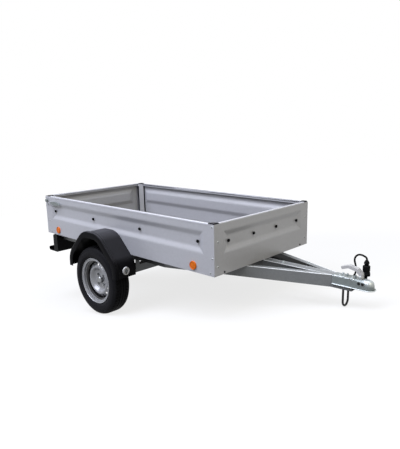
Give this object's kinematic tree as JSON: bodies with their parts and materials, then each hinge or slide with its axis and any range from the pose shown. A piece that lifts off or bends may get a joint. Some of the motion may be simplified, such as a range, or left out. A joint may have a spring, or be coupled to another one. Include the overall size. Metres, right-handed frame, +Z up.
{
  "type": "single-axle utility trailer",
  "caption": "Small open box trailer with pressed galvanised walls, a drop tailgate, black mudguards, steel wheels, and a V drawbar with a ball coupling and support hoop.",
  "frame": {"origin": "on the ground, below the middle of the parked trailer's length and width", "axes": "+X towards the coupling, +Y to the left, +Z up; the trailer stands parked on its wheels and support hoop, so its box leans 9.8 degrees nose down"},
  "size_m": [3.0084, 1.496, 1.0035],
  "materials": {
    "floor_ply": "film-faced plywood, satin",
    "galvanised_sheet": "galvanised sheet, satin with a faint spangle",
    "galvanised_steel": "hot-dip galvanised, dull",
    "zinc_plate": "bright zinc plate",
    "dark_steel": "dark grey enamel",
    "cast_arm": "galvanised casting",
    "cast_hub": "machined and zinc plated",
    "silver_paint": "silver wheel enamel",
    "black_paint": "black powder coat",
    "black_plastic": "moulded, fine grain",
    "black_rubber": "smooth",
    "tyre": "vulcanised",
    "amber_reflector": "prismatic",
    "white_reflector": "prismatic",
    "red_lens": "ribbed lens"
  },
  "bodies": {
    "chassis": {"floor_board": "floor_ply", "cross_members": "galvanised_steel", "side_panel_right": "galvanised_sheet", "side_panel_left": "galvanised_sheet", "front_panel": "galvanised_sheet", "corner_posts": "galvanised_sheet", "corner_caps": "black_plastic", "tarp_buttons": "black_plastic", "side_reflectors": "amber_reflector", "latch_plates": "galvanised_sheet", "latch_levers": "dark_steel", "hinge_pins": "zinc_plate", "drawbar_leg_right": "galvanised_steel", "drawbar_leg_left": "galvanised_steel", "centre_beam": "galvanised_steel", "coupling_head": "zinc_plate", "coupling_lever": "galvanised_sheet", "support_hoop": "dark_steel", "plug_holder": "black_plastic", "plug": "black_rubber", "cable_grommet": "black_rubber", "plug_cable": "black_rubber", "axle_beam": "galvanised_steel", "axle_brackets": "galvanised_steel", "trailing_arms": "cast_arm", "mudguard_right": "black_plastic", "mudguard_left": "black_plastic", "front_reflectors": "white_reflector", "light_bar": "black_paint", "lamp_bodies": "black_plastic", "lamp_lenses": "red_lens", "rear_triangles": "red_lens"},
    "tailgate": {"tailgate_panel": "galvanised_sheet", "tailgate_buttons": "black_plastic"},
    "wheel_right": {"tyre_right": "tyre", "rim_right": "silver_paint", "hub_right": "cast_hub"},
    "wheel_left": {"tyre_left": "tyre", "rim_left": "silver_paint", "hub_left": "cast_hub"}
  },
  "joints": [
    {"name": "wheel_right_spin", "type": "hinge", "parent": "chassis", "child": "wheel_right", "pos_m": [-0.43413, -0.655, 0.274], "axis": [0, 1, 0], "continuous": true},
    {"name": "wheel_left_spin", "type": "hinge", "parent": "chassis", "child": "wheel_left", "pos_m": [-0.43413, 0.655, 0.274], "axis": [0, 1, 0], "continuous": true},
    {"name": "tailgate_drop", "type": "hinge", "parent": "chassis", "child": "tailgate", "pos_m": [-1.33612, 0, 0.66904], "axis": [0, -1, 0], "range_deg": [0, 120]}
  ]
}
